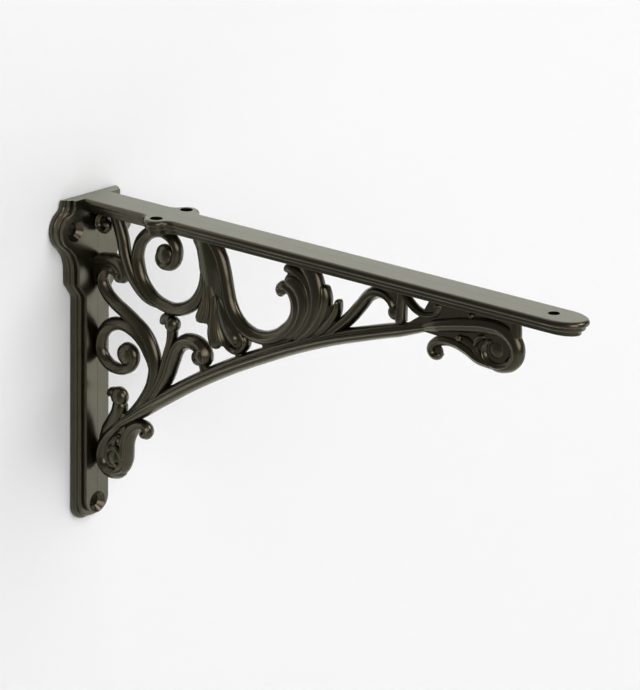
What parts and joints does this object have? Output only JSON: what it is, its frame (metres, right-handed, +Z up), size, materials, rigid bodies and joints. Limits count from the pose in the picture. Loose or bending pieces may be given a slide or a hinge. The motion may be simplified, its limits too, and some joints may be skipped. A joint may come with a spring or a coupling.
{
  "type": "shelf bracket",
  "caption": "Cast-iron shelf bracket: a moulded arm and wall plate braced by an open web of scrolls and leaves, screwed to a wall under a shelf.",
  "frame": {"origin": "on the wall plane, midway between the wall plate's two ear screws", "axes": "+X out from the wall along the arm, +Y across the bracket, +Z up; the shelf lies at Z 12.4 mm and Y 0 is the parting plane"},
  "size_m": [0.25, 0.044, 0.1378],
  "materials": {
    "bracket": "dark oil-rubbed bronze finish, satin"
  },
  "bodies": {
    "root": {"bracket": "bracket"}
  },
  "joints": []
}
